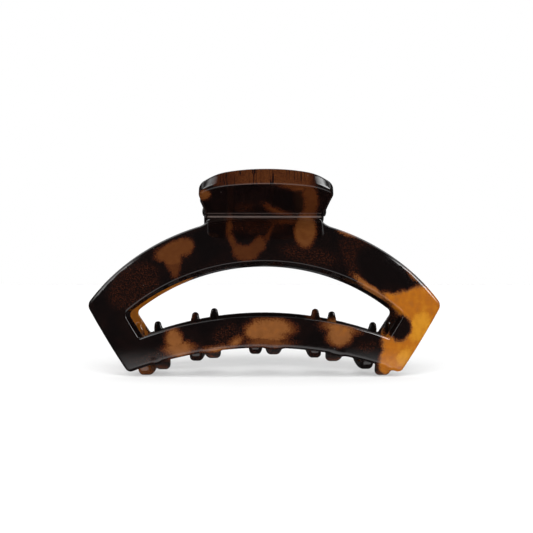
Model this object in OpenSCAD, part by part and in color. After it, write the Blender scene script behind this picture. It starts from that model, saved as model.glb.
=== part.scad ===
// Open-frame claw clip: two identical moulded jaws that turn on a steel pin
// and are pressed shut by a torsion spring.
//
// Frame: +X runs along the hinge pin, +Z is up from the teeth to the finger
// tabs, and the front jaw lies on the -Y side. The origin is under the middle
// of the clip, level with its lowest teeth. All lengths are in millimetres.

/* [Jaw frame] */
// Thickness of the moulded wall
wall = 3.8; // [3.2:0.1:4.2]
// Radius of the jaw's outer face in the side view
side_r = 34.3; // [33:0.1:36]
// Height of the widest point of the jaw
belly_z = 19.5; // [18:0.5:21]
// Distance from the middle plane to the widest point of each jaw
belly_y = 22; // [21:0.5:24]
// Radius of the bow that the jaw makes in the top view
bow_r = 107; // [95:1:140]
// Radius of the upper edge in the front view
top_r = 66.6; // [65:0.2:68]
// Height that the upper edge would reach at the middle
top_z = 48; // [47.5:0.1:48.5]
// Distance of the slanted end edges from the origin, square to the edge
end_reach = 34.6; // [33.8:0.1:35.4]
// Slant of the end edges from the vertical, in degrees
end_slant = 31.2; // [29:0.2:33]
// Radius of the lower edge of the bar
bar_low_r = 102; // [96:1:110]
// Height of the lower edge of the bar at the middle
bar_low_z = 8.9; // [8.5:0.1:9.5]

/* [Window] */
// Radius of the upper edge of the window
window_top_r = 62; // [60:0.5:64]
// Height of the upper edge of the window at the middle
window_top_z = 34.4; // [33:0.1:34.8]
// Radius of the lower edge of the window
window_low_r = 105; // [98:1:112]
// Height of the lower edge of the window at the middle
window_low_z = 18.3; // [18:0.1:19]
// Width of the end posts beside the window
post_w = 9.2; // [8.4:0.1:9.8]

/* [Teeth] */
// Width of a tooth where it leaves the bar
tooth_root_w = 5.4; // [4.6:0.1:5.6]
// Width of a tooth at its tip
tooth_tip_w = 2.7; // [2.2:0.1:3]
// Thickness of a tooth where it leaves the bar
tooth_root_t = 3.4; // [3:0.1:3.6]
// Thickness of a tooth at its tip
tooth_tip_t = 2.2; // [1.8:0.1:2.4]
// Radius of the bend that turns a tooth upward
tooth_bend_r = 5; // [4.5:0.1:5.5]

/* [Finger tab] */
// Half width of the tab at its foot
tab_foot_w = 17.4; // [17:0.1:18]
// Half width of the tab at its rim
tab_rim_w = 21; // [19:0.1:22]
// Lean of the tab's foot from the vertical, in degrees
tab_foot_lean = 35; // [33:1:37]
// Lean of the tab's rim from the vertical, in degrees
tab_rim_lean = 66.5; // [60:0.5:68]
// Radius of the tab's lower face in the side view
tab_r = 26.5; // [25:0.5:28]
// Thickness of the rim
rim_t = 5.2; // [4.4:0.1:5.4]
// Radius of the rim's edge in the top view
rim_arc_r = 60; // [50:1:70]
// Distance of the tab's middle from the middle of the jaw
tab_aside = 0.5; // [0:0.1:0.6]

/* [Hinge] */
// Height of the pin's axis
hinge_z = 49.6; // [49.4:0.1:49.8]
// Radius of the pin
pin_r = 1; // [0.8:0.05:1]
// Radial clearance of the pin in the lugs
pin_play = 0.05; // [0.02:0.01:0.08]
// Radius of the lugs
lug_r = 3; // [2.6:0.1:3]
// Width of each lug along the pin
lug_w = 4.4; // [3.5:0.1:4.4]
// Distance from the middle to the outer face of the outer lugs
lug_reach = 18; // [17.8:0.1:18.4]
// Radius of the pin's domed heads
pin_head_r = 1.5; // [1.3:0.1:1.8]
// Height of the pin's domed heads
pin_head_h = 0.8; // [0.6:0.1:1]

/* [Spring] */
// Diameter of the spring wire
wire_d = 1.1; // [0.8:0.1:1.1]
// Radius of the coil to the middle of the wire
coil_r = 2.6; // [2.4:0.1:2.6]
// Number of turns
coil_turns = 9; // [6:1:11]
// Length of each spring leg
leg_l = 9; // [6:0.5:10]

/* [Hidden] */

shell_colour = [0.16, 0.09, 0.05];
steel_colour = [0.72, 0.72, 0.74];

cut = 200;            // longer than any part of the clip
fine = 96;            // segments of the large arcs
lug_gap = 0.5;        // free space between neighbouring lugs

ring_r = bow_r - side_r;           // bow radius at the centre of the side arc
bow_y = bow_r - belly_y;           // where the bow's upright axis stands
crease_z = 47.5;                   // where the tab's foot meets the frame
crease_y = bow_y - ring_r - sqrt(pow(side_r, 2) - pow(crease_z - belly_z, 2));
tab_cy = crease_y - tab_r * cos(tab_foot_lean);
tab_cz = crease_z - tab_r * sin(tab_foot_lean);
rim_y = tab_cy + tab_r * cos(tab_rim_lean);
neck_depth = 0.82 * wall;          // how far the tab's foot sinks into the frame
neck_gap = 3;                      // free space in front of the middle plane for the hinge
lug_web_rise = 1.5;                // where a lug's web meets its barrel, above the pin's axis
bar_wall = 0.9;                    // how far a tooth starts inside the bar's outer face

// Each tooth: its place along the bar, how far its tip stands aside from
// there, and the height of its tip.
teeth = [
    [-30.2, -2.4, 16.2], [-15.2, -0.1, 20.2], [2.7, 0, 17.4],
    [20.5, 0.2, 19.2], [35.4, 2.4, 16.3]
];
tooth_steps = 14;     // points along each stretch of a tooth

function arc_z(x, r, z) = z - r + sqrt(r * r - x * x);

// The teeth hang below the bar just far enough for the last one to reach the ground.
tooth_drop = arc_z(teeth[4][0], bar_low_r, bar_low_z);

function outer_y(x, z) =
    bow_y - sqrt(pow(ring_r + sqrt(pow(side_r, 2) - pow(z - belly_z, 2)), 2) - x * x);

// Everything inside the slanted end edges at a distance from the origin.
module between_ends(reach) {
    intersection_for(side = [0, 1])
        mirror([side, 0])
            rotate(-end_slant)
                translate([reach - cut, -cut / 2])
                    square([cut, cut]);
}

// The jaw's outline in the front view, with X across and Z up the page.
module front_outline() {
    difference() {
        intersection() {
            union() {
                translate([0, top_z - top_r]) circle(r = top_r, $fn = fine * 2);
                translate([tab_aside - tab_foot_w, belly_z]) square([2 * tab_foot_w, cut]);
            }
            between_ends(end_reach);
            translate([-cut / 2, -1]) square([cut, crease_z + 1]);
        }
        translate([0, bar_low_z - bar_low_r]) circle(r = bar_low_r, $fn = fine * 2);
    }
}

module window_outline() {
    difference() {
        intersection() {
            translate([0, window_top_z - window_top_r])
                circle(r = window_top_r, $fn = fine * 2);
            between_ends(end_reach - post_w);
        }
        translate([0, window_low_z - window_low_r])
            circle(r = window_low_r, $fn = fine * 2);
    }
}

// Pushes a front-view shape through the whole depth of the clip.
module through_y() {
    rotate([90, 0, 0])
        linear_extrude(height = cut, center = true)
            children();
}

// Pushes a side-view shape, with Y across and Z up, along X.
module along_x(from, to) {
    translate([from, 0, 0])
        rotate([90, 0, 90])
            linear_extrude(height = to - from)
                children();
}

// The bowed wall of the jaw before it is cut to its outline.
module bowed_wall() {
    translate([0, bow_y, 0])
        rotate([0, 0, -130])
            rotate_extrude(angle = 80, $fn = fine * 2)
                intersection() {
                    translate([ring_r, belly_z])
                        difference() {
                            circle(r = side_r, $fn = fine);
                            circle(r = side_r - wall, $fn = fine);
                        }
                    translate([ring_r + 1, -2]) square([side_r, crease_z + 2]);
                }
}

module frame() {
    intersection() {
        bowed_wall();
        translate([-cut / 2, -neck_gap - cut, 0]) cube(cut);
        through_y()
            difference() {
                front_outline();
                window_outline();
            }
    }
}

// The tab in the side view: a wall that curls outward from the frame's neck.
module tab_side() {
    intersection() {
        translate([tab_cy, tab_cz])
            difference() {
                circle(r = tab_r + wall, $fn = fine);
                circle(r = tab_r, $fn = fine);
                rotate(tab_rim_lean) square([cut, cut]);
            }
        translate([-neck_gap - cut, crease_z - neck_depth]) square([cut, cut]);
    }
}

module rim_side() {
    translate([tab_cy, tab_cz])
        rotate(tab_rim_lean)
            translate([tab_r, -rim_t / 2])
                square([rim_t, rim_t / 2]);
}

// The tab in the top view, with its rounded rim.
module tab_top() {
    intersection() {
        polygon([
            [-tab_foot_w, 2], [-tab_foot_w, crease_y], [-tab_rim_w, rim_y], [-tab_rim_w, rim_y - 4],
            [tab_rim_w, rim_y - 4], [tab_rim_w, rim_y], [tab_foot_w, crease_y], [tab_foot_w, 2]
        ]);
        translate([0, rim_y + rim_arc_r]) circle(r = rim_arc_r, $fn = fine);
    }
}

module tab() {
    intersection() {
        along_x(-cut / 2, cut / 2) {
            tab_side();
            rim_side();
        }
        linear_extrude(height = cut) translate([tab_aside, 0]) tab_top();
    }
}

// One lug: a barrel on the pin's axis, with a web back to the jaw's neck.
module lug(from) {
    along_x(from, from + lug_w)
        difference() {
            union() {
                translate([0, hinge_z]) circle(r = lug_r, $fn = fine / 2);
                polygon([
                    [0, hinge_z - lug_r], [-2, hinge_z - lug_r - 0.6], [crease_y, crease_z - 2],
                    [crease_y + 1, crease_z + 1],
                    [-sqrt(pow(lug_r, 2) - pow(lug_web_rise, 2)), hinge_z + lug_web_rise]
                ]);
            }
            translate([0, hinge_z]) circle(r = pin_r + pin_play, $fn = fine / 2);
        }
}

// One tooth in the side view: it leaves the bar low and flat, then turns up.
module tooth_side(root_y, low_z, tip_z) {
    run_r = (root_y * root_y + tooth_drop * tooth_drop) / (2 * tooth_drop);
    run_angle = asin(-root_y / run_r);
    bend_z = low_z + tooth_bend_r;
    bend = [for (i = [0:tooth_steps]) let (a = 90 * i / tooth_steps)
        [tooth_bend_r * sin(a), bend_z - tooth_bend_r * cos(a), a]];
    run = [for (i = [0:tooth_steps - 1]) let (a = -run_angle * (1 - i / tooth_steps))
        [run_r * sin(a), low_z + run_r * (1 - cos(a)), a]];
    rise = [for (i = [1:4]) [tooth_bend_r - 0.1 * i, bend_z + (tip_z - bend_z) * i / 4, 90]];
    path = concat(run, bend, rise);
    last = len(path) - 1;
    function thickness(i) =
        let (s = i / last, taper = tooth_root_t + (tooth_tip_t - tooth_root_t) * s)
            i == last ? taper * 0.5 : taper;
    lower = [for (i = [0:last]) [path[i][0], path[i][1]]];
    upper = [for (i = [last:-1:0])
        [path[i][0] - sin(path[i][2]) * thickness(i), path[i][1] + cos(path[i][2]) * thickness(i)]];
    polygon(concat(lower, upper));
}

// One tooth, narrowed toward its tip in the top view and in the front view.
module tooth(x, aside, tip_z) {
    low_edge = arc_z(x, bar_low_r, bar_low_z);
    root_y = outer_y(x, low_edge) + bar_wall;
    low_z = low_edge - tooth_drop;
    mid_w = (tooth_root_w + tooth_tip_w) / 2;
    bend_y = tooth_bend_r + 2;
    intersection() {
        along_x(x - 8, x + 8) tooth_side(root_y, low_z, tip_z);
        linear_extrude(height = cut)
            polygon([
                [x - tooth_root_w / 2, root_y - 2], [x + tooth_root_w / 2, root_y - 2],
                [x + mid_w / 2 + max(aside, 0), bend_y], [x - mid_w / 2 + min(aside, 0), bend_y]
            ]);
        through_y()
            polygon([
                [x - tooth_root_w / 2, low_z - 1], [x + tooth_root_w / 2, low_z - 1],
                [x + tooth_root_w / 2, low_z + tooth_root_t], [x + aside + tooth_tip_w / 2, tip_z],
                [x + aside - tooth_tip_w / 2, tip_z], [x - tooth_root_w / 2, low_z + tooth_root_t]
            ]);
    }
}

// A whole jaw, drawn as the front one.
module jaw() {
    difference() {
        union() {
            frame();
            tab();
            lug(-lug_reach);
            lug(lug_reach - 2 * lug_w - lug_gap);
            for (t = teeth) tooth(t[0], t[1], t[2]);
        }
        translate([-cut / 2, 0, hinge_z])
            rotate([0, 90, 0])
                cylinder(r = pin_r + pin_play, h = cut, $fn = fine / 2);
    }
}

module back_jaw() {
    color(shell_colour) rotate([0, 0, 180]) jaw();
}

module front_jaw() {
    color(shell_colour) jaw();
}

// The pin, with a domed head closed over each outer lug.
module hinge_pin() {
    half = lug_reach + pin_play;
    dome_r = (pow(pin_head_r, 2) + pow(pin_head_h, 2)) / (2 * pin_head_h);
    color(steel_colour)
        translate([0, 0, hinge_z])
            rotate([0, 90, 0])
                rotate_extrude($fn = fine / 2) {
                    translate([0, -half]) square([pin_r, 2 * half]);
                    for (end = [0, 1])
                        mirror([0, end])
                            intersection() {
                                translate([0, half + pin_head_h - dome_r])
                                    circle(r = dome_r, $fn = fine / 2);
                                translate([0, half]) square([pin_head_r, pin_head_h]);
                            }
                }
}

// The spring: close-wound turns round the pin, and a leg behind each tab.
module torsion_spring() {
    pitch = wire_d * 0.96;
    half = pitch * (coil_turns - 1) / 2;
    leg_lean = tab_foot_lean + 4.3;
    color(steel_colour)
        translate([0, 0, hinge_z])
            union() {
                rotate([0, 90, 0])
                    rotate_extrude($fn = fine / 2)
                        for (i = [0:coil_turns - 1])
                            translate([coil_r, i * pitch - half])
                                circle(d = wire_d, $fn = 24);
                for (end = [0, 1])
                    rotate([0, 0, 180 * end])
                        translate([half, 0, 0])
                            rotate([leg_lean, 0, 0])
                                translate([0, -coil_r, 0])
                                    cylinder(d = wire_d, h = leg_l, $fn = 24);
            }
}

back_jaw();
front_jaw();
hinge_pin();
torsion_spring();
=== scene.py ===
"""Looks of an open-frame tortoiseshell claw clip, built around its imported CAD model.

The two jaws are one moulding used twice. Its surface is the zero level of a distance
field, worked out in millimetres in the jaw's own frame and meshed once.
"""
import math

import bmesh
import bpy
import numpy as np
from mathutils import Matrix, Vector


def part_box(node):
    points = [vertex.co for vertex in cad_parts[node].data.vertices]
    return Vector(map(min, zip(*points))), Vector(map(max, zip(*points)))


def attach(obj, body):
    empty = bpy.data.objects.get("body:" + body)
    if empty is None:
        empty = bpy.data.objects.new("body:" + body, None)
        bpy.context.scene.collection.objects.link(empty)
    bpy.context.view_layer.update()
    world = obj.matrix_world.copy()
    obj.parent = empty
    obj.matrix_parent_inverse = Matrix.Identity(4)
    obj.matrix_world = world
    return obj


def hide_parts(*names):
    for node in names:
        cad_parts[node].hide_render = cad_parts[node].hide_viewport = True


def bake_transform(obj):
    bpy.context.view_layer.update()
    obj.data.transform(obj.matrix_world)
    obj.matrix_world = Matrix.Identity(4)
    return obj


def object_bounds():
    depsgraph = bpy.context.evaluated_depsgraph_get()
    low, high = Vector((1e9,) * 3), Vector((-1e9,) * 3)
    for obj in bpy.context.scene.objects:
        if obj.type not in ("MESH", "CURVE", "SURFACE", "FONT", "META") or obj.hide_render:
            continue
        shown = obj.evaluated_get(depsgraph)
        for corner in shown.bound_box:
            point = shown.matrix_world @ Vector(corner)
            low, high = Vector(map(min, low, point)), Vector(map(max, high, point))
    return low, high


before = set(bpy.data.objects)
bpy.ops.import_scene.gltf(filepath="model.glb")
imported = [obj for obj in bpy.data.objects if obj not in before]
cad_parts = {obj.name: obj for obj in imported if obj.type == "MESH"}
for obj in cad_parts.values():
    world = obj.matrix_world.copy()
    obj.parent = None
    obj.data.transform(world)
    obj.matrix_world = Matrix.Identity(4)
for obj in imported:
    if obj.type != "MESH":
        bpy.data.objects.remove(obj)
cad_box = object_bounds()

MM = 0.001

# ---------------------------------------------------------------- camera

FRONT_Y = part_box("front_jaw")[0].y      # the nearest face of the clip
CAMERA_DISTANCE = 0.311                 # from that face
CAMERA_HEIGHT = 0.0288
CAMERA_X = -0.0013
FOCAL_MM = 74.0
PITCH_UP = math.radians(0.7)
YAW_RIGHT = math.radians(0.34)


def add_camera():
    data = bpy.data.cameras.new("camera")
    data.lens = FOCAL_MM
    data.sensor_width = 36.0
    data.clip_start = 0.01
    camera = bpy.data.objects.new("camera", data)
    bpy.context.scene.collection.objects.link(camera)
    camera.location = (CAMERA_X, FRONT_Y - CAMERA_DISTANCE, CAMERA_HEIGHT)
    camera.rotation_euler = (math.pi / 2 + PITCH_UP, 0, -YAW_RIGHT)
    bpy.context.scene.camera = camera


add_camera()

# ---------------------------------------------------------------- sizes of a jaw, in millimetres

WALL = 3.8
SIDE_R = 34.3                # radius of the outer face in the side view
BELLY_Z = 19.5               # height of its widest point
BOW_R = 107.0                # radius of its outer face in the top view
BOW_Y = BOW_R + FRONT_Y / MM
RING_R = BOW_R - SIDE_R
TOP_R, TOP_Z = 66.6, 48.3            # upper edge in the front view: radius, height
BAR_LOW_R, BAR_LOW_Z = 102.0, 8.9    # lower edge of the bar
# The frame's slanted ends: how far their line runs from the origin, and its outward lean.
END_REACH, END_SLANT = 34.6, math.radians(31.2)
# The window: its upper and lower edge, and the width of the post beside it.
WINDOW_TOP_R, WINDOW_TOP_Z = 62.0, 34.4
WINDOW_LOW_R, WINDOW_LOW_Z = 105.0, 18.3
POST_W = 9.2
EDGE_R = 0.8                 # rounding of the inner edges
OUTLINE_R = 1.8              # rounding of the edges round the outside
CORNER_R = 2.0               # rounding of the frame's corners in the front view
WINDOW_CORNER_R, WINDOW_LOW_CORNER_R = 1.5, 0.5
NECK_GAP = 3.0               # free space in front of the middle plane for the hinge
NO_CUT = -9.0                # a depth that leaves any solid as it is

# The finger tab curls outward from the crease at its foot to its rim.
CREASE_Z = 47.5
CREASE_Y = BOW_Y - RING_R - math.sqrt(SIDE_R**2 - (CREASE_Z - BELLY_Z) ** 2)
FOOT_LEAN, RIM_LEAN = math.radians(35), math.radians(66.5)
TAB_R = 26.5
TAB_Y = CREASE_Y - TAB_R * math.cos(FOOT_LEAN)
TAB_Z = CREASE_Z - TAB_R * math.sin(FOOT_LEAN)
TAB_LENGTH = (RIM_LEAN - FOOT_LEAN) * TAB_R
TAB_FOOT_W, TAB_RIM_W = 17.5, 21.9   # half widths
TAB_FOOT_ASIDE, TAB_RIM_ASIDE = 0.2, 0.7     # how far its middle stands to the right
TAB_CORNER_R, TAB_EDGE_R = 2.6, 1.0
FOOT_TUCK = 0.6              # how far its sides draw in below the crease
FOOT_SINK = 0.8 * WALL       # how far it runs on into the frame below the crease
NECK_FILLET_R = 2.2          # between the neck's sides and the frame
CREASE_FILLET_R = 0.5        # between the tab's foot and the frame
RIM_T, RIM_RUN = 5.2, 5.0            # thickness at the rim, and the length over which it grows
RIM_ARC_R = 60.0
RIM_END_X, RIM_END_R = 12.0, 18.0     # past this place the rim bends back more

HINGE_Z = 49.6
PIN_R, PIN_PLAY = 1.0, 0.05
PIN_HEAD_R, PIN_HEAD_H = 1.5, 0.8
LUG_R, LUG_W, LUG_REACH = 3.0, 4.4, 18.0
# Each jaw has an outer lug at one end and an inner one beside the other jaw's outer lug.
LUG_PLACES = (-LUG_REACH + LUG_W / 2, LUG_REACH - 1.5 * LUG_W - 0.5)
LUG_LOW_Z = 42.0             # nothing of a lug reaches below this
LUG_FOOT_Y, LUG_FOOT_Z = CREASE_Y + 3.2, CREASE_Z - 0.3      # where its web meets the neck
LUG_WEB_R, LUG_EDGE_R, LUG_FILLET_R = 2.4, 0.5, 0.6
WEB_FILLET_R = 1.0           # between the barrel and its web
BORE_EDGE_R = 0.15

# Each tooth: place along the bar, how far its tip stands aside, height of its tip.
TEETH = (
    (-30.2, -2.4, 16.2), (-15.2, -0.1, 20.2), (2.7, 0.0, 17.4), (20.5, 0.2, 19.2),
    (35.4, 2.4, 16.3),
)
TOOTH_ROOT_W, TOOTH_TIP_W = 5.4, 2.7
TOOTH_ROOT_T, TOOTH_TIP_T = 3.4, 2.2
TOOTH_BEND_R = 5.0
TOOTH_SINK = 1.6             # depth of its root below the outer face
TOOTH_LEAN = 0.4             # how far the tip leans back toward its root
TOOTH_DOME, TIP_TAPER = 1.4, 0.3     # length over which the tip narrows, and by how much
TOOTH_FILLET_R = 1.2         # between a tooth and the bar
TOOTH_ROUNDNESS = 0.95       # its edges' rounding as a share of half its thickness
TOOTH_MARGIN = 6.0           # past this gap a tooth doesn't change the surface

WIRE_D = 1.1
COIL_R = 2.6                 # to the middle of the wire
SPRING_HALF = 4.1            # half the length of the coil
SPRING_TURNS = 7
SPRING_LEAN = math.radians(39.3)     # of the legs from the vertical
LEG_L = 9.0

JAW_LOW, JAW_HIGH = (-55.0, -23.5, -1.5), (55.0, 7.0, 63.0)
CELL = 0.5                   # spacing of the meshing grid
SPLIT_TURN = math.radians(12)        # edges that turn by more than this are split

# ---------------------------------------------------------------- looks

FRONT_WANDER, BACK_WANDER = 2.2, 7.0     # how far the borders of the patches wander, in mm
GRAIN = 2.6                  # how deep their stippling goes, in millimetres
BORDER = 0.75                # half width of a dark spot's fading edge
SPOT_COVER = 0.93            # how much of a patch a dark spot hides
DUST_TONE = 0.3              # patches dimmer than this are dust
# How fine each noise of the plastic is, per millimetre.
DRIFT_SCALE, GRAIN_SCALE, HAZE_SCALE = 0.2, 3.0, 0.12
CLOUD_SCALE, SPECK_SCALE, WAVE_SCALE, STREAK_SCALE = 0.5, 0.17, 0.35, 0.9
PLASTIC_IOR = 1.49
THROUGH = 1000.0             # half depth of a patch, which runs right through the jaw
FLOOR_HALF = 6.0             # half the side of the floor, in metres
AMBIENT = 0.85               # strength of the room's even light on dull surfaces
DARK_GLINT = 0.03            # what shows in a reflection between the lights
FLOOR_GLOW = 0.38            # the floor is a light table
FLOOR_GREYS = (98, 102)      # the two display values of its faint mottle
# Lights on the floor: name, energy, spread, and turn from straight down (the first comes low
# from the front, the second high from the back).
FLOOR_LIGHTS = (
    ("low_front_light", 41.0, math.radians(60), math.radians(75)),
    ("high_back_light", 4.2, math.radians(80), math.radians(-40)),
)

# ---------------------------------------------------------------- distance fields


def round_and(a, b, r):
    """What lies in both fields, with the edge between them rounded to radius r."""
    corner = np.hypot(np.maximum(a + r, 0), np.maximum(b + r, 0))
    return np.minimum(np.maximum(a, b), -r) + corner


def round_or(a, b, r):
    """What lies in either field, with a fillet of radius r between them."""
    return -round_and(-a, -b, r)


def smooth_step(t):
    """Rises smoothly from 0 to 1 as t does."""
    t = np.clip(t, 0, 1)
    return t * t * (3 - 2 * t)


class OuterFace:
    """The point of the bowed outer face nearest to each given point, as seen in the front view."""

    def __init__(self, x, y, z):
        across = np.hypot(x, BOW_Y - y)
        out, up = across - RING_R, z - BELLY_Z
        self.reach = np.hypot(out, up)
        self.cos_rise, self.sin_rise = out / self.reach, up / self.reach
        self.cos_turn, self.sin_turn = (BOW_Y - y) / across, x / across
        self.x = (RING_R + SIDE_R * self.cos_rise) * self.sin_turn
        self.z = BELLY_Z + SIDE_R * self.sin_rise

    def along_face(self, gap, gx, gz):
        """Turns a distance measured in the front view into one along the curved face."""
        sideways = gx * self.cos_turn
        upward = gz * self.cos_rise - gx * self.sin_rise * self.sin_turn
        return gap / np.maximum(np.hypot(sideways, upward), 0.3)

    def disc(self, radius, top_z):
        """Gap along the face to a disc of the front view, whose top is at top_z."""
        dz = self.z - (top_z - radius)
        length = np.hypot(self.x, dz)
        return self.along_face(length - radius, self.x / length, dz / length)

    def between_ends(self, reach):
        """Gap along the face to the nearer of two slanted lines, one on each side."""
        gx, gz = math.cos(END_SLANT) * np.sign(self.x), -math.sin(END_SLANT)
        return self.along_face(np.abs(self.x) * math.cos(END_SLANT) + self.z * gz - reach, gx, gz)


def frame_field(x, y, z):
    """The arched frame: a bowed wall cut to its outline, with its window."""
    face = OuterFace(x, y, z)
    wall = np.abs(face.reach - SIDE_R + WALL / 2) - WALL / 2
    neck = np.abs(face.x - TAB_FOOT_ASIDE) - TAB_FOOT_W
    top = round_or(face.disc(TOP_R, TOP_Z), neck, NECK_FILLET_R)
    outline = round_and(top, face.between_ends(END_REACH), CORNER_R)
    outline = round_and(outline, -face.disc(BAR_LOW_R, BAR_LOW_Z), CORNER_R)
    between_posts = face.between_ends(END_REACH - POST_W)
    window = round_and(face.disc(WINDOW_TOP_R, WINDOW_TOP_Z), between_posts, WINDOW_CORNER_R)
    window = round_and(window, -face.disc(WINDOW_LOW_R, WINDOW_LOW_Z), WINDOW_LOW_CORNER_R)
    body = round_and(round_and(wall, outline, OUTLINE_R), -window, EDGE_R)
    body = round_and(body, z - CREASE_Z, EDGE_R)
    return round_and(body, y + NECK_GAP, EDGE_R)


def tab_field(x, y, z):
    """The finger tab: a wall that curls outward to a thicker rim with an arched edge."""
    reach = np.hypot(y - TAB_Y, z - TAB_Z)
    lean = np.arctan2(z - TAB_Z, y - TAB_Y)
    from_rim = (RIM_LEAN - lean) * TAB_R
    x = x - TAB_RIM_ASIDE + (TAB_RIM_ASIDE - TAB_FOOT_ASIDE) * np.clip(from_rim / TAB_LENGTH, 0, 1)
    thick = WALL + (RIM_T - WALL) * smooth_step(1 - from_rim / RIM_RUN)
    wall = np.abs(reach - TAB_R - thick / 2) - thick / 2
    half = TAB_RIM_W + (TAB_FOOT_W - TAB_RIM_W) * np.clip(from_rim / TAB_LENGTH, -0.2, 1)
    half = half - FOOT_TUCK * smooth_step((CREASE_Z - z) / FOOT_TUCK)
    past_bend = np.maximum(np.abs(x) - RIM_END_X, 0)
    recess = x * x / (2 * RIM_ARC_R) + past_bend**2 / (2 * RIM_END_R)
    outline = round_and(recess - from_rim, np.abs(x) - half, TAB_CORNER_R)
    body = round_and(wall, outline, TAB_EDGE_R)
    body = round_and(body, y + NECK_GAP, EDGE_R)
    return round_and(body, CREASE_Z - FOOT_SINK - z, EDGE_R)


def lug_field(x, y, z, middle):
    """A lug: a barrel round the pin, with a rounded web back to the neck."""
    up = z - HINGE_Z
    barrel = np.hypot(y, up) - LUG_R
    foot_y, foot_z = LUG_FOOT_Y, LUG_FOOT_Z - HINGE_Z
    t = np.clip((y * foot_y + up * foot_z) / (foot_y**2 + foot_z**2), 0, 1)
    web = np.hypot(y - t * foot_y, up - t * foot_z) - LUG_WEB_R
    side_view = round_or(barrel, web, WEB_FILLET_R)
    body = round_and(side_view, np.abs(x - middle) - LUG_W / 2, LUG_EDGE_R)
    return round_and(body, PIN_R + PIN_PLAY - np.hypot(y, up), BORE_EDGE_R)


def arc_z(x, radius, top_z):
    """Height at x of an arc whose top is at top_z."""
    return top_z - radius + math.sqrt(radius**2 - x * x)


def outer_y(x, z):
    """Depth of the outer face at a place in the front view."""
    across = RING_R + math.sqrt(SIDE_R**2 - (z - BELLY_Z) ** 2)
    return BOW_Y - math.sqrt(across**2 - x * x)


# Every tooth reaches as far below the bar as the outermost one, which touches the floor.
TOOTH_DROP = arc_z(TEETH[-1][0], BAR_LOW_R, BAR_LOW_Z)


def tooth_line(x, aside, tip_z):
    """Points along the middle of a tooth: x, y, z, half width, half thickness."""
    low_edge = arc_z(x, BAR_LOW_R, BAR_LOW_Z)
    low_z = low_edge - TOOTH_DROP
    root_y = outer_y(x, low_edge) + TOOTH_SINK
    run_r = (root_y**2 + TOOTH_DROP**2) / (2 * TOOTH_DROP)
    run_turn = math.asin(-root_y / run_r)
    lower = [(run_r * math.sin(a), low_z + run_r * (1 - math.cos(a)), a)
             for a in np.linspace(-run_turn, 0, 12, endpoint=False)]
    bend_z = low_z + TOOTH_BEND_R
    lower += [(TOOTH_BEND_R * math.sin(a), bend_z - TOOTH_BEND_R * math.cos(a), a)
              for a in np.linspace(0, math.pi / 2, 12)]
    rise = tip_z - TOOTH_TIP_T / 2 - bend_z
    lower += [(TOOTH_BEND_R - TOOTH_LEAN * t, bend_z + rise * t, math.pi / 2 + 0.05)
              for t in np.linspace(0, 1, 9)[1:]]
    lower = np.array(lower)
    steps = np.hypot(*np.diff(lower[:, :2], axis=0).T)
    s = np.concatenate([[0], np.cumsum(steps)]) / steps.sum()
    half_t = (TOOTH_ROOT_T + (TOOTH_TIP_T - TOOTH_ROOT_T) * s) / 2
    half_w = (TOOTH_ROOT_W + (TOOTH_TIP_W - TOOTH_ROOT_W) * s) / 2
    y = lower[:, 0] - np.sin(lower[:, 2]) * half_t
    z = lower[:, 1] + np.cos(lower[:, 2]) * half_t
    half_w = half_w - TIP_TAPER * smooth_step(1 - (1 - s) * steps.sum() / TOOTH_DOME)
    return np.stack([x + aside * s**2, y, z, half_w, half_t], axis=1)


def tooth_field(x, y, z, line):
    """A tooth of rounded section that follows its line."""
    best = np.full(x.shape, np.inf)
    found = [np.zeros(x.shape) for _ in range(3)]
    for a, b in zip(line[:-1], line[1:]):
        dy, dz = b[1] - a[1], b[2] - a[2]
        t = np.clip(((y - a[1]) * dy + (z - a[2]) * dz) / (dy * dy + dz * dz), 0, 1)
        away = np.hypot(y - a[1] - t * dy, z - a[2] - t * dz)
        nearer = away < best
        best = np.where(nearer, away, best)
        for kept, column in zip(found, (0, 3, 4)):
            kept[nearer] = (a[column] + t * (b[column] - a[column]))[nearer]
    middle, half_w, half_t = found
    radius = np.minimum(half_t, half_w) * TOOTH_ROUNDNESS
    across, through = np.abs(x - middle) - half_w + radius, best - half_t + radius
    inside = np.minimum(np.maximum(across, through), 0)
    return np.hypot(np.maximum(across, 0), np.maximum(through, 0)) + inside - radius


TOOTH_LINES = [tooth_line(*tooth) for tooth in TEETH]


def jaw_field(p):
    """Distance from the surface of the front jaw at points p, negative inside."""
    x, y, z = p.T
    field = round_or(frame_field(x, y, z), tab_field(x, y, z), CREASE_FILLET_R)
    for line in TOOTH_LINES:
        low, high = line[:, :3].min(0) - TOOTH_MARGIN, line[:, :3].max(0) + TOOTH_MARGIN
        near = np.all((p > low) & (p < high), axis=1)
        tooth = tooth_field(x[near], y[near], z[near], line)
        field[near] = round_or(field[near], tooth, TOOTH_FILLET_R)
    for middle in LUG_PLACES:
        near = (np.abs(x - middle) < LUG_W) & (z > LUG_LOW_Z)
        lug = lug_field(x[near], y[near], z[near], middle)
        field[near] = round_or(field[near], lug, LUG_FILLET_R)
    from_axis = np.hypot(y, z - HINGE_Z)
    bore = np.where(from_axis < 2 * PIN_R, PIN_R + PIN_PLAY - from_axis, NO_CUT)
    return np.maximum(field, bore)


def slope(field, p, step=0.02):
    """Gradient of the field at points p."""
    parts = []
    for axis in range(3):
        shift = np.zeros(3)
        shift[axis] = step
        parts.append((field(p + shift) - field(p - shift)) / (2 * step))
    return np.stack(parts, axis=1)


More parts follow.
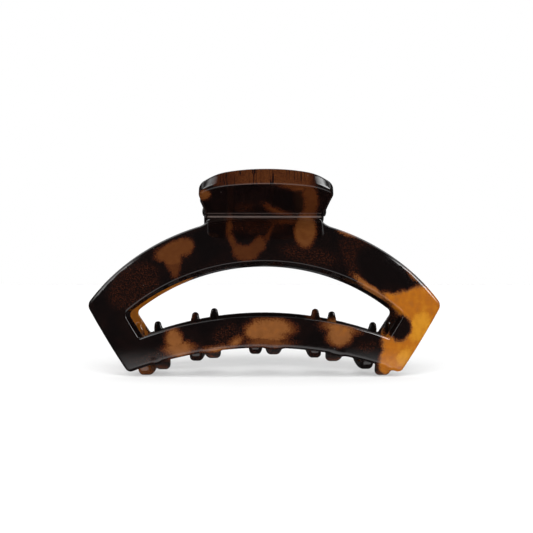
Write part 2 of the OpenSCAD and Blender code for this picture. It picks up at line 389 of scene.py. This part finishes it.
def surface_net(field, low, high, cell):
    """Meshes the field's zero level.

    Each cell that it crosses gets a vertex, and each crossed edge of the grid gets a quad.
    """
    axes = [np.arange(a, b + cell, cell) for a, b in zip(low, high)]
    shape = tuple(len(a) for a in axes)
    grid = np.stack(np.meshgrid(*axes, indexing="ij"), axis=-1).reshape(-1, 3)
    values = np.concatenate([field(part) for part in np.array_split(grid, 12)]).reshape(shape)
    inside = values < 0
    cells = tuple(n - 1 for n in shape)
    corners = [(i, j, k) for i in (0, 1) for j in (0, 1) for k in (0, 1)]
    edges = [(a, b) for a in corners for b in corners
             if sum(b) - sum(a) == 1 and all(q >= p for p, q in zip(a, b))]
    total, count = np.zeros(cells + (3,)), np.zeros(cells)
    for a, b in edges:
        sa = tuple(slice(p, p + n) for p, n in zip(a, cells))
        sb = tuple(slice(p, p + n) for p, n in zip(b, cells))
        crossed = inside[sa] != inside[sb]
        t = np.where(crossed, values[sa] / np.where(crossed, values[sa] - values[sb], 1), 0)
        place = np.array(a) + t[..., None] * (np.array(b) - np.array(a))
        total += np.where(crossed[..., None], place, 0)
        count += crossed
    used = count > 0
    number = np.full(cells, -1)
    number[used] = np.arange(used.sum())
    index = np.argwhere(used)
    vertices = np.array(low) + (index + total[used] / count[used][:, None]) * cell
    faces = []
    for axis in range(3):
        one, two = [(1, 2), (2, 0), (0, 1)][axis]
        a = inside[tuple(slice(0, -1) if i == axis else slice(1, -1) for i in range(3))]
        b = inside[tuple(slice(1, None) if i == axis else slice(1, -1) for i in range(3))]
        at = np.argwhere(a != b)
        outward = a[tuple(at.T)]
        at[:, [one, two]] += 1
        ring = []
        for du, dv in ((0, 0), (1, 0), (1, 1), (0, 1)):
            cell_at = at.copy()
            cell_at[:, one] -= du
            cell_at[:, two] -= dv
            ring.append(number[tuple(cell_at.T)])
        quads = np.stack(ring, axis=1)
        faces.append(np.where(outward[:, None], quads, quads[:, ::-1]))
    return vertices, np.concatenate(faces)


def settle(field, vertices, rounds=6):
    """Moves the vertices onto the field's zero level."""
    for _ in range(rounds):
        g = slope(field, vertices)
        square = np.maximum((g * g).sum(1), 0.2)
        vertices = vertices - (field(vertices) / square)[:, None] * g
    return vertices


# ---------------------------------------------------------------- meshes


def jaw_surface():
    """The front jaw as a mesh in millimetres, finer where it turns sharply, and its normals."""
    vertices, faces = surface_net(jaw_field, JAW_LOW, JAW_HIGH, CELL)
    vertices = settle(jaw_field, vertices)
    normals = unit(slope(jaw_field, vertices))
    fine = bmesh.new()
    for place in vertices:
        fine.verts.new(place)
    fine.verts.ensure_lookup_table()
    for face in faces:
        fine.faces.new([fine.verts[i] for i in face])
    fine.verts.index_update()
    sharp = [e for e in fine.edges
             if normals[e.verts[0].index] @ normals[e.verts[1].index] < math.cos(SPLIT_TURN)]
    bmesh.ops.subdivide_edges(fine, edges=sharp, cuts=1, use_grid_fill=True)
    fine.verts.index_update()
    vertices = settle(jaw_field, np.array([v.co for v in fine.verts]))
    faces = [[v.index for v in face.verts] for face in fine.faces]
    fine.free()
    return vertices, faces, unit(slope(jaw_field, vertices))


def unit(vectors):
    """The vectors at length 1."""
    return vectors / np.linalg.norm(vectors, axis=1)[:, None]


def add_piece(name, vertices, faces, normals=None):
    """Adds a smooth-shaded piece whose vertices are given in millimetres."""
    mesh = bpy.data.meshes.new(name)
    mesh.from_pydata((np.asarray(vertices) * MM).tolist(), [], [tuple(f) for f in faces])
    mesh.update()
    mesh.shade_smooth()
    if normals is not None:
        mesh.normals_split_custom_set_from_vertices(normals.tolist())
    piece = bpy.data.objects.new(name, mesh)
    bpy.context.scene.collection.objects.link(piece)
    return piece


def rings_to_faces(ring_count, sides):
    """Quads between rings of vertices that follow one another, and a cap at each end."""
    faces = []
    for ring in range(ring_count - 1):
        for side in range(sides):
            a, b = ring * sides + side, ring * sides + (side + 1) % sides
            faces.append((a, b, b + sides, a + sides))
    faces.append(tuple(range(sides - 1, -1, -1)))
    faces.append(tuple(range((ring_count - 1) * sides, ring_count * sides)))
    return faces


def pin_piece():
    """The pin, turned about the hinge axis, with a domed head at each end."""
    sides = 48
    bevel = 0.12
    half = LUG_REACH + PIN_PLAY
    head = [(half, PIN_R), (half, PIN_HEAD_R - bevel), (half + bevel, PIN_HEAD_R)]
    for step in range(1, 7):
        turn = step / 6 * math.pi / 2
        head.append((half + bevel + (PIN_HEAD_H - bevel) * math.sin(turn),
                     PIN_HEAD_R * math.cos(turn) + 0.02))
    profile = [(-along, radius) for along, radius in reversed(head)] + head
    vertices = [(along, radius * math.cos(2 * math.pi * k / sides),
                 HINGE_Z + radius * math.sin(2 * math.pi * k / sides))
                for along, radius in profile for k in range(sides)]
    return add_piece("hinge_pin_turned", vertices, rings_to_faces(len(profile), sides))


def spring_line():
    """Points along the wire: in along the back leg, round the coil, out along the front leg."""
    start, end = -SPRING_LEAN, -math.pi + SPRING_LEAN - 2 * math.pi * SPRING_TURNS
    points = []
    for turn in np.linspace(start, end, 30 * SPRING_TURNS):
        share = (turn - start) / (end - start)
        along = SPRING_HALF * (2 * share - 1)
        points.append((along, COIL_R * math.cos(turn), COIL_R * math.sin(turn)))
    points = np.array(points)
    leg = np.linspace(LEG_L, 0.4, 12)[:, None]
    sine, cosine = math.sin(SPRING_LEAN), math.cos(SPRING_LEAN)
    back_leg = points[0] + leg * np.array([0, sine, cosine])
    front_leg = points[-1] + leg[::-1] * np.array([0, -sine, cosine])
    return np.concatenate([back_leg, points, front_leg]) + np.array([0, 0, HINGE_Z])


def spring_piece():
    """The wound wire, with its two ends rounded off."""
    sides = 14
    line = spring_line()
    ahead = unit(np.gradient(line, axis=0))
    across = np.array([1.0, 0.0, 0.0])
    vertices = []
    for k, (place, way) in enumerate(zip(line, ahead)):
        across = across - (across @ way) * way
        across /= np.linalg.norm(across)
        other = np.cross(way, across)
        radius = WIRE_D / 2 * (0.6 if k in (0, len(line) - 1) else 1)
        for side in range(sides):
            turn = 2 * math.pi * side / sides
            vertices.append(place + radius * (across * math.cos(turn) + other * math.sin(turn)))
    return add_piece("torsion_spring_wire", vertices, rings_to_faces(len(line), sides))


# ---------------------------------------------------------------- materials


def linear(red, green, blue):
    """A colour given in display values from 0 to 255, as light."""
    parts = [c / 255 for c in (red, green, blue)]
    return [c / 12.92 if c < 0.04045 else ((c + 0.055) / 1.055) ** 2.4 for c in parts] + [1.0]


class Shading:
    """A node tree of a material or a world, with a short call for each kind of node."""

    def __init__(self, owner):
        owner.use_nodes = True
        self.tree = owner.node_tree

    def add(self, kind, inputs=(), **settings):
        node = self.tree.nodes.new("ShaderNode" + kind)
        for key, value in settings.items():
            setattr(node, key, value)
        for key, value in dict(inputs).items():
            self.feed(node.inputs[key], value)
        return node

    def feed(self, socket, value):
        if isinstance(value, bpy.types.NodeSocket):
            self.tree.links.new(value, socket)
        else:
            socket.default_value = value

    def math(self, operation, a, b=0.0, c=0.0):
        return self.add("Math", {0: a, 1: b, 2: c}, operation=operation).outputs[0]

    def vector_math(self, operation, a, b=(0, 0, 0)):
        return self.add("VectorMath", {0: a, 1: b}, operation=operation).outputs[0]

    def step(self, value, low, high, top=1.0):
        """Rises smoothly from 0 to top as the value goes from low to high."""
        inputs = {"Value": value, "From Min": low, "From Max": high, "To Min": 0.0, "To Max": top}
        return self.add("MapRange", inputs, interpolation_type="SMOOTHSTEP").outputs["Result"]

    def mix(self, factor, a, b):
        """A colour between a and b."""
        inputs = {"Factor": factor, "A": a, "B": b}
        return self.add("Mix", inputs, data_type="RGBA").outputs["Result"]

    def noise(self, place, scale, detail=2.0):
        return self.add("TexNoise", {"Vector": place, "Scale": scale, "Detail": detail})

    def millimetres(self):
        """Places on the object in millimetres."""
        place = self.add("TexCoord").outputs["Object"]
        return self.add("VectorMath", {0: place, 3: 1 / MM}, operation="SCALE").outputs[0]

    def ramp(self, value, stops):
        node = self.add("ValToRGB", {"Fac": value})
        elements = node.color_ramp.elements
        while len(elements) < len(stops):
            elements.new(0.5)
        for element, (place, colour) in zip(elements, stops):
            element.position = place
            element.color = colour
        return node.outputs["Color"]


def blob_depth(nodes, place, blob):
    """How deep a place lies in an ellipse pushed through the jaw from the front, in millimetres."""
    x, z, half_x, half_z, turn = blob
    inputs = {"Vector": place, "Location": (x, 0, z), "Rotation": (0, -math.radians(turn), 0),
              "Scale": (half_x, THROUGH, half_z)}
    local = nodes.add("Mapping", inputs, vector_type="TEXTURE").outputs[0]
    length = nodes.add("VectorMath", {0: local}, operation="LENGTH").outputs["Value"]
    size = min(half_x, half_z)
    return nodes.math("MULTIPLY_ADD", length, -size, size)


# Tones of the tortoiseshell from its darkest to its clearest part.
TORTOISESHELL = (
    (0.00, linear(14, 9, 9)), (0.12, linear(26, 14, 12)), (0.30, linear(64, 29, 14)),
    (0.50, linear(101, 56, 26)), (0.68, linear(142, 88, 45)), (0.84, linear(186, 108, 28)),
    (1.00, linear(216, 146, 40)),
)


def tortoiseshell(name, patches, dark_spots, wander, rim=False):
    """Glossy tortoiseshell: patches of given tones with stippled borders in a near-black brown.

    Each patch is its tone, the half width of its fading border in millimetres, and one or more
    ellipses: middle x and z, half width, half height, turn. A dim patch is dust, not a clear spot.
    """
    material = bpy.data.materials.new(name)
    nodes = Shading(material)
    place = nodes.millimetres()
    drift = nodes.noise(place, DRIFT_SCALE, 6).outputs["Color"]
    drift = nodes.vector_math("SUBTRACT", drift, (0.5, 0.5, 0.5))
    drift = nodes.vector_math("MULTIPLY", drift, (wander, wander, wander))
    drifted = nodes.vector_math("ADD", place, drift)
    grain = nodes.noise(place, GRAIN_SCALE, 5).outputs["Fac"]
    grain_depth = nodes.math("MULTIPLY_ADD", grain, GRAIN, -GRAIN / 2)

    haze = nodes.step(nodes.noise(drifted, HAZE_SCALE, 2).outputs["Fac"], 0.36, 0.58)
    tone = nodes.math("MULTIPLY", haze, nodes.step(grain, 0.34, 0.7, 0.14))
    dust = nodes.step(grain, 0.3, 0.72)
    for patch_tone, border, blobs in patches:
        for blob in blobs:
            depth = nodes.math("ADD", blob_depth(nodes, drifted, blob), grain_depth)
            shown = nodes.step(depth, -border, border, patch_tone)
            if patch_tone < DUST_TONE:
                shown = nodes.math("MULTIPLY", shown, dust)
            tone = nodes.math("MAXIMUM", tone, shown)
    if rim:
        tone = rim_tone(nodes, place, grain, tone)
    for blob in dark_spots:
        depth = nodes.math("ADD", blob_depth(nodes, drifted, blob), grain_depth)
        cover = nodes.step(depth, -BORDER, BORDER, SPOT_COVER)
        tone = nodes.math("MULTIPLY", tone, nodes.math("SUBTRACT", 1.0, cover))
    cloud = nodes.noise(place, CLOUD_SCALE, 4).outputs["Fac"]
    tone = nodes.math("MULTIPLY", tone, nodes.math("MULTIPLY_ADD", cloud, 0.3, 0.85))
    colour = nodes.ramp(tone, TORTOISESHELL)
    # the front jaw gets a painted highlight along the tab's crease
    if rim:
        colour = painted_crease_highlight(nodes, place, colour)

    speck_gap = nodes.add("TexVoronoi", {"Vector": place, "Scale": SPECK_SCALE}).outputs["Distance"]
    speck = nodes.step(speck_gap, 0.03, 0.015, 0.35)
    colour = nodes.mix(speck, colour, linear(150, 140, 135))
    waves = nodes.noise(place, WAVE_SCALE, 2).outputs["Fac"]
    bump = nodes.add("Bump", {"Height": waves, "Strength": 0.35, "Distance": 0.06 * MM})

    shader = nodes.tree.nodes["Principled BSDF"]
    nodes.feed(shader.inputs["Base Color"], colour)
    nodes.feed(shader.inputs["Roughness"], nodes.math("MULTIPLY_ADD", grain, 0.06, 0.05))
    nodes.feed(shader.inputs["Normal"], bump.outputs["Normal"])
    shader.inputs["IOR"].default_value = PLASTIC_IOR
    return material


def rim_tone(nodes, place, grain, tone):
    """Makes the finger tab's rim brown, with dark streaks across it."""
    level = nodes.vector_math("SUBTRACT", place, (0, TAB_Y, TAB_Z))
    outward = (0, -math.sin(RIM_LEAN), math.cos(RIM_LEAN))
    past_edge = nodes.add("VectorMath", {0: level, 1: outward}, operation="DOT_PRODUCT")
    along = nodes.add("SeparateXYZ", {0: place}).outputs["X"]
    recess = nodes.math("MULTIPLY", nodes.math("MULTIPLY", along, along), 0.5 / RIM_ARC_R)
    on_rim = nodes.step(nodes.math("ADD", past_edge.outputs["Value"], recess), -1.1, -0.4)
    squeezed = nodes.vector_math("MULTIPLY", place, (1.0, 0.07, 0.07))
    streak = nodes.noise(squeezed, STREAK_SCALE, 1).outputs["Fac"]
    clear = nodes.step(nodes.math("ABSOLUTE", nodes.math("SUBTRACT", streak, 0.45)), 0.0, 0.035)
    inside = nodes.math("MULTIPLY", nodes.step(along, -20.5, -15), nodes.step(along, 17, 12))
    rim = nodes.math("MULTIPLY_ADD", clear, 0.75, 0.25)
    rim = nodes.math("MULTIPLY", rim, nodes.math("MULTIPLY", inside, on_rim))
    rim = nodes.math("MULTIPLY", rim, nodes.math("MULTIPLY_ADD", grain, 0.3, 0.12))
    rim = nodes.math("MULTIPLY", rim, nodes.math("ADD", nodes.step(along, -14, -4, 0.45), 1.0))
    return nodes.math("MAXIMUM", tone, rim)


def painted_crease_highlight(nodes, place, colour):
    """Paints highlights into the shell's colour along the tab's foot, where the light gathers in the
    crease.
    """
    parts = nodes.add("SeparateXYZ", {0: place}).outputs
    away = nodes.math("ABSOLUTE", nodes.math("SUBTRACT", parts["Z"], CREASE_Z + 0.05))
    above = nodes.math("ABSOLUTE", nodes.math("SUBTRACT", parts["Z"], CREASE_Z + 1.0))
    main_highlight, faint_highlight = nodes.step(away, 0.36, 0.14, 0.3), nodes.step(above, 0.26, 0.06, 0.09)
    light = nodes.math("MAXIMUM", main_highlight, faint_highlight)
    light = nodes.math("MULTIPLY", light, nodes.step(parts["Y"], -5.4, -6.4))
    inside = nodes.step(nodes.math("ABSOLUTE", parts["X"]), 17.2, 16.6)
    # mixes in the painted highlight's colour, only between the tab's sides
    return nodes.mix(nodes.math("MULTIPLY", light, inside), colour, linear(196, 176, 168))


def steel(name, colour, roughness, streak_scale):
    """Drawn steel, slightly dulled, with fine marks that streak_scale spaces along each axis."""
    material = bpy.data.materials.new(name)
    nodes = Shading(material)
    place = nodes.millimetres()
    drawn = nodes.noise(nodes.vector_math("MULTIPLY", place, streak_scale), 1.0, 4).outputs["Fac"]
    dull = nodes.noise(place, 0.8, 3).outputs["Fac"]
    darker = [0.55 * c for c in colour[:3]] + [1.0]
    shade = nodes.mix(nodes.step(dull, 0.35, 0.65), darker, colour)
    bump = nodes.add("Bump", {"Height": drawn, "Strength": 0.4, "Distance": 0.02 * MM})
    shader = nodes.tree.nodes["Principled BSDF"]
    shader.inputs["Metallic"].default_value = 1.0
    nodes.feed(shader.inputs["Base Color"], shade)
    nodes.feed(shader.inputs["Roughness"], nodes.math("MULTIPLY_ADD", drawn, 0.2, roughness))
    nodes.feed(shader.inputs["Normal"], bump.outputs["Normal"])
    return material


# ---------------------------------------------------------------- patterns of the two jaws

FRONT_PATCHES = (
    (0.50, 0.9, ((-27.0, 37.2, 5.4, 2.8, 16), (-23.4, 38.4, 2.8, 3.0, 0),
                 (-26.8, 35.4, 3.4, 2.6, -30))),
    (0.40, 0.9, ((-26.2, 33.2, 2.2, 3.0, 10), (-25.8, 31.0, 1.4, 2.2, 0))),
    (0.40, 0.8, ((-10.3, 44.4, 1.1, 3.4, 0), (-9.2, 39.8, 1.2, 3.8, 24), (-7.6, 37.4, 1.8, 2.0, 0),
                 (-5.2, 36.6, 3.8, 2.4, 0), (-3.0, 37.6, 2.2, 2.4, 0),
                 (-1.7, 38.9, 2.1, 3.0, -16))),
    (0.32, 0.7, ((1.2, 42.2, 0.8, 5.2, -28), (7.5, 46.2, 6.4, 1.2, 0), (-10.0, 46.7, 2.2, 0.6, 0))),
    (0.29, 1.4, ((-2.0, 45.0, 10.0, 3.0, 0), (31.5, 33.5, 11.5, 6.0, -35), (-38.0, 27.0, 9.0, 6.0, 40),
                 (-5.6, 50.0, 3.4, 1.8, 0), (-33.0, 5.8, 7.0, 1.6, 8), (-10.0, 12.6, 5.0, 3.8, 0),
                 (13.0, 36.0, 9.0, 3.0, -12), (30.0, 9.6, 4.0, 2.0, 0), (40.0, 16.8, 4.0, 4.6, -30))),
    (0.55, 0.9, ((12.0, 43.2, 3.4, 5.4, -3),)),
    (0.38, 1.0, ((13.3, 52.0, 2.6, 5.6, 4), (8.8, 56.0, 5.4, 1.6, -8), (13.0, 47.8, 2.6, 2.4, 0),
                 (3.9, 49.9, 4.8, 1.7, -16))),
    (0.55, 0.6, ((-17.6, 53.6, 1.8, 1.4, 0),)),
    (0.60, 0.4, ((24.8, 42.3, 3.0, 0.9, -20), (42.4, 30.6, 3.4, 0.8, -48))),
    (0.84, 0.9, ((39.6, 23.4, 6.6, 3.2, -36), (43.5, 15.6, 8.8, 12.2, -30), (38.2, 4.6, 4.8, 5.6, 0),
                 (48.0, 21.0, 6.0, 5.0, -30))),
    (0.98, 3.0, ((45.6, 15.0, 5.4, 7.4, -28), (41.2, 6.0, 4.0, 6.0, -30))),
    (0.72, 0.7, ((31.0, 26.2, 6.6, 1.3, -36),)),
    (0.66, 1.3, ((-26.2, 12.0, 2.8, 3.2, -12), (-24.6, 9.0, 5.0, 2.4, 8), (-13.4, 8.9, 4.6, 1.3, 6),
                 (-8.2, 11.2, 2.6, 1.4, 35))),
    (0.67, 1.4, ((2.4, 15.4, 6.4, 2.8, -4), (-2.4, 14.2, 3.6, 3.0, 0), (1.4, 13.0, 5.4, 2.2, 0))),
    (0.52, 1.2, ((1.0, 10.9, 6.8, 1.6, 0),)),
    (0.68, 1.3, ((21.6, 12.8, 3.9, 3.6, 8), (21.6, 15.0, 5.6, 1.8, -12))),
    (0.36, 0.6, ((-30.2, 1.9, 3.2, 1.8, 0), (-15.2, 5.3, 3.2, 1.8, 0), (2.7, 6.5, 3.2, 1.8, 0),
                 (20.5, 4.4, 3.2, 1.8, 0), (35.4, 0.4, 3.2, 1.8, 0), (-26.0, 5.6, 3.0, 0.9, 8))),
)
FRONT_DARK_SPOTS = ((6.0, 52.2, 5.6, 2.6, -14), (39.4, 14.8, 3.2, 3.7, 0), (34.8, 31.6, 8.6, 5.2, -35))

BACK_PATCHES = (
    # The first patch, the left post's bright orange, is amber shell painted brighter to stand for light
    # shining through it from behind: partly its own colour, partly a painted glow.
    (0.82, 1.0, ((-40.5, 16.5, 8.0, 12.5, 28), (-30.5, 26.6, 9.5, 3.2, 32))),
    (0.52, 0.8, ((-36.0, 2.0, 3.4, 3.6, 0),)),
    (0.34, 0.8, ((14.2, 18.0, 2.0, 2.4, 0), (-20.7, 18.0, 1.2, 2.0, 0))),
    (0.29, 1.5, ((0.0, 6.0, 30.0, 2.6, 0), (-24.0, 37.0, 9.0, 4.0, 30), (41.0, 16.5, 5.0, 9.0, -28),
                 (6.0, 44.0, 12.0, 4.0, 0), (-8.0, 12.0, 6.0, 4.0, 0))),
    (0.50, 1.0, ((20.0, 38.5, 5.0, 2.6, -20), (24.0, 34.6, 2.2, 4.4, -30), (16.6, 40.0, 3.0, 1.6, 20))),
    (0.46, 1.0, ((2.5, 41.5, 2.0, 4.6, 12), (-0.6, 38.0, 3.8, 1.8, 0), (-9.0, 43.0, 1.6, 3.8, 25),
                 (-6.4, 39.4, 3.0, 1.4, -25))),
    (0.66, 1.2, ((17.0, 12.5, 3.6, 3.8, 0), (13.4, 10.6, 4.2, 1.6, 10), (-14.5, 13.0, 4.6, 2.6, 0),
                 (-19.0, 11.4, 4.0, 1.8, 10), (29.0, 9.0, 2.8, 3.4, -20))),
    (0.60, 0.9, ((39.0, 27.0, 3.6, 1.8, -40), (43.0, 14.0, 2.0, 5.0, -28), (41.0, 21.0, 1.6, 4.0, 10))),
    (0.42, 1.0, ((-12.0, 53.0, 2.4, 4.4, 20), (-9.0, 56.0, 4.0, 1.6, 0), (7.0, 51.0, 5.0, 1.6, -10),
                 (11.0, 53.0, 2.0, 3.0, 0))),
)
BACK_DARK_SPOTS = ((-33.4, 13.0, 3.0, 3.0, 0),)

# ---------------------------------------------------------------- building the clip

jaw_vertices, jaw_faces, jaw_normals = jaw_surface()
HALF_TURN = np.array([-1, -1, 1])
front = add_piece("front_jaw_shell", jaw_vertices, jaw_faces, jaw_normals)
back = add_piece("back_jaw_shell", jaw_vertices * HALF_TURN, jaw_faces, jaw_normals * HALF_TURN)
front.data.materials.append(tortoiseshell(
    "tortoiseshell_front", FRONT_PATCHES, FRONT_DARK_SPOTS, FRONT_WANDER, rim=True))
back.data.materials.append(tortoiseshell(
    "tortoiseshell_back", BACK_PATCHES, BACK_DARK_SPOTS, BACK_WANDER))
for piece, node in ((front, "front_jaw"), (back, "back_jaw")):
    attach(piece, node)
    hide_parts(node)

pin = pin_piece()
pin.data.materials.append(steel("pin_steel", linear(96, 92, 88), 0.26, (0.3, 6, 6)))
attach(pin, "back_jaw")
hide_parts("hinge_pin")

spring = spring_piece()
spring.data.materials.append(steel("spring_steel", linear(186, 186, 190), 0.16, (6, 6, 6)))
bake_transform(spring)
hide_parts("torsion_spring")

# ---------------------------------------------------------------- floor and light


def add_floor():
    """A matt white floor with a faint mottle, level with the clip's lowest teeth."""
    mesh = bpy.data.meshes.new("floor")
    corners = [(-FLOOR_HALF, -FLOOR_HALF, 0), (FLOOR_HALF, -FLOOR_HALF, 0),
               (FLOOR_HALF, FLOOR_HALF, 0), (-FLOOR_HALF, FLOOR_HALF, 0)]
    mesh.from_pydata(corners, [], [(0, 1, 2, 3)])
    floor = bpy.data.objects.new("floor", mesh)
    bpy.context.scene.collection.objects.link(floor)
    floor.location.z = cad_box[0][2]
    material = bpy.data.materials.new("floor_paint")
    nodes = Shading(material)
    mottle = nodes.noise(nodes.millimetres(), 0.02, 2).outputs["Fac"]
    shader = nodes.tree.nodes["Principled BSDF"]
    stops = [(place, linear(grey, grey, grey)) for place, grey in enumerate(FLOOR_GREYS)]
    nodes.feed(shader.inputs["Base Color"], nodes.ramp(mottle, stops))
    nodes.feed(shader.inputs["Emission Color"], (1, 1, 1, 1))
    shader.inputs["Emission Strength"].default_value = FLOOR_GLOW
    shader.inputs["Roughness"].default_value = 0.9
    shader.inputs["Specular IOR Level"].default_value = 0.0
    mesh.materials.append(material)
    floor.visible_glossy = False
    return floor


def add_floor_lights(floor):
    """Soft lights that fall on the floor alone, for the shadow around the clip's foot."""
    lit = bpy.data.collections.new("lit_by_floor_lights")
    lit.objects.link(floor)
    for name, energy, spread, turn in FLOOR_LIGHTS:
        data = bpy.data.lights.new(name, "SUN")
        data.energy = energy
        data.angle = spread
        sun = bpy.data.objects.new(name, data)
        bpy.context.scene.collection.objects.link(sun)
        sun.rotation_euler = (turn, 0, 0)
        sun.visible_glossy = False
        sun.light_linking.receiver_collection = lit


def add_world():
    """A white room of even light.

    Reflections show a light table below in front, a soft box at each side, the right one
    brighter, and a weak one behind. The value backward runs from -1 straight in front to 1
    straight behind, at any height.
    """
    world = bpy.data.worlds.new("studio")
    bpy.context.scene.world = world
    nodes = Shading(world)
    ray = nodes.add("LightPath").outputs
    way = nodes.add("SeparateXYZ", {0: nodes.add("TexCoord").outputs["Generated"]}).outputs
    level = nodes.math("SUBTRACT", 1.0, nodes.math("MULTIPLY", way["Z"], way["Z"]))
    level = nodes.math("SQRT", nodes.math("MAXIMUM", level, 0.0001))
    backward = nodes.math("DIVIDE", way["Y"], level)
    below, in_front = nodes.step(way["Z"], -0.55, -0.9, 1.4), nodes.step(backward, 0.3, -0.3)
    table = nodes.math("MULTIPLY", below, in_front)
    low_edge, high_edge = nodes.step(way["Z"], 0.2, 0.34), nodes.step(way["Z"], 0.78, 0.64)
    height = nodes.math("MULTIPLY", low_edge, high_edge)
    near_edge, far_edge = nodes.step(backward, -0.44, -0.38), nodes.step(backward, 0.1, -0.1)
    sideways = nodes.math("MULTIPLY", near_edge, far_edge)
    boxes = nodes.math("MULTIPLY", height, sideways)
    boxes = nodes.math("MULTIPLY", boxes, nodes.math("MULTIPLY_ADD", way["X"], 4.5, 8.0))
    behind, raised = nodes.step(backward, 0.0, 0.5, 1.2), nodes.step(way["Z"], 0.35, 0.5)
    behind = nodes.math("MULTIPLY", behind, raised)
    behind = nodes.math("MULTIPLY", behind, nodes.step(way["Z"], 0.95, 0.9))
    glints = DARK_GLINT
    for part in (table, boxes, behind):
        glints = nodes.math("ADD", part, glints)
    change = nodes.math("SUBTRACT", glints, AMBIENT)
    strength = nodes.math("MULTIPLY_ADD", change, ray["Is Glossy Ray"], AMBIENT)
    strength = nodes.math("MAXIMUM", strength, ray["Is Camera Ray"])
    background = nodes.tree.nodes["Background"].inputs
    nodes.feed(background["Color"], (1, 1, 1, 1))
    nodes.feed(background["Strength"], strength)


add_floor_lights(add_floor())
add_world()
bpy.context.scene.view_settings.view_transform = "Standard"
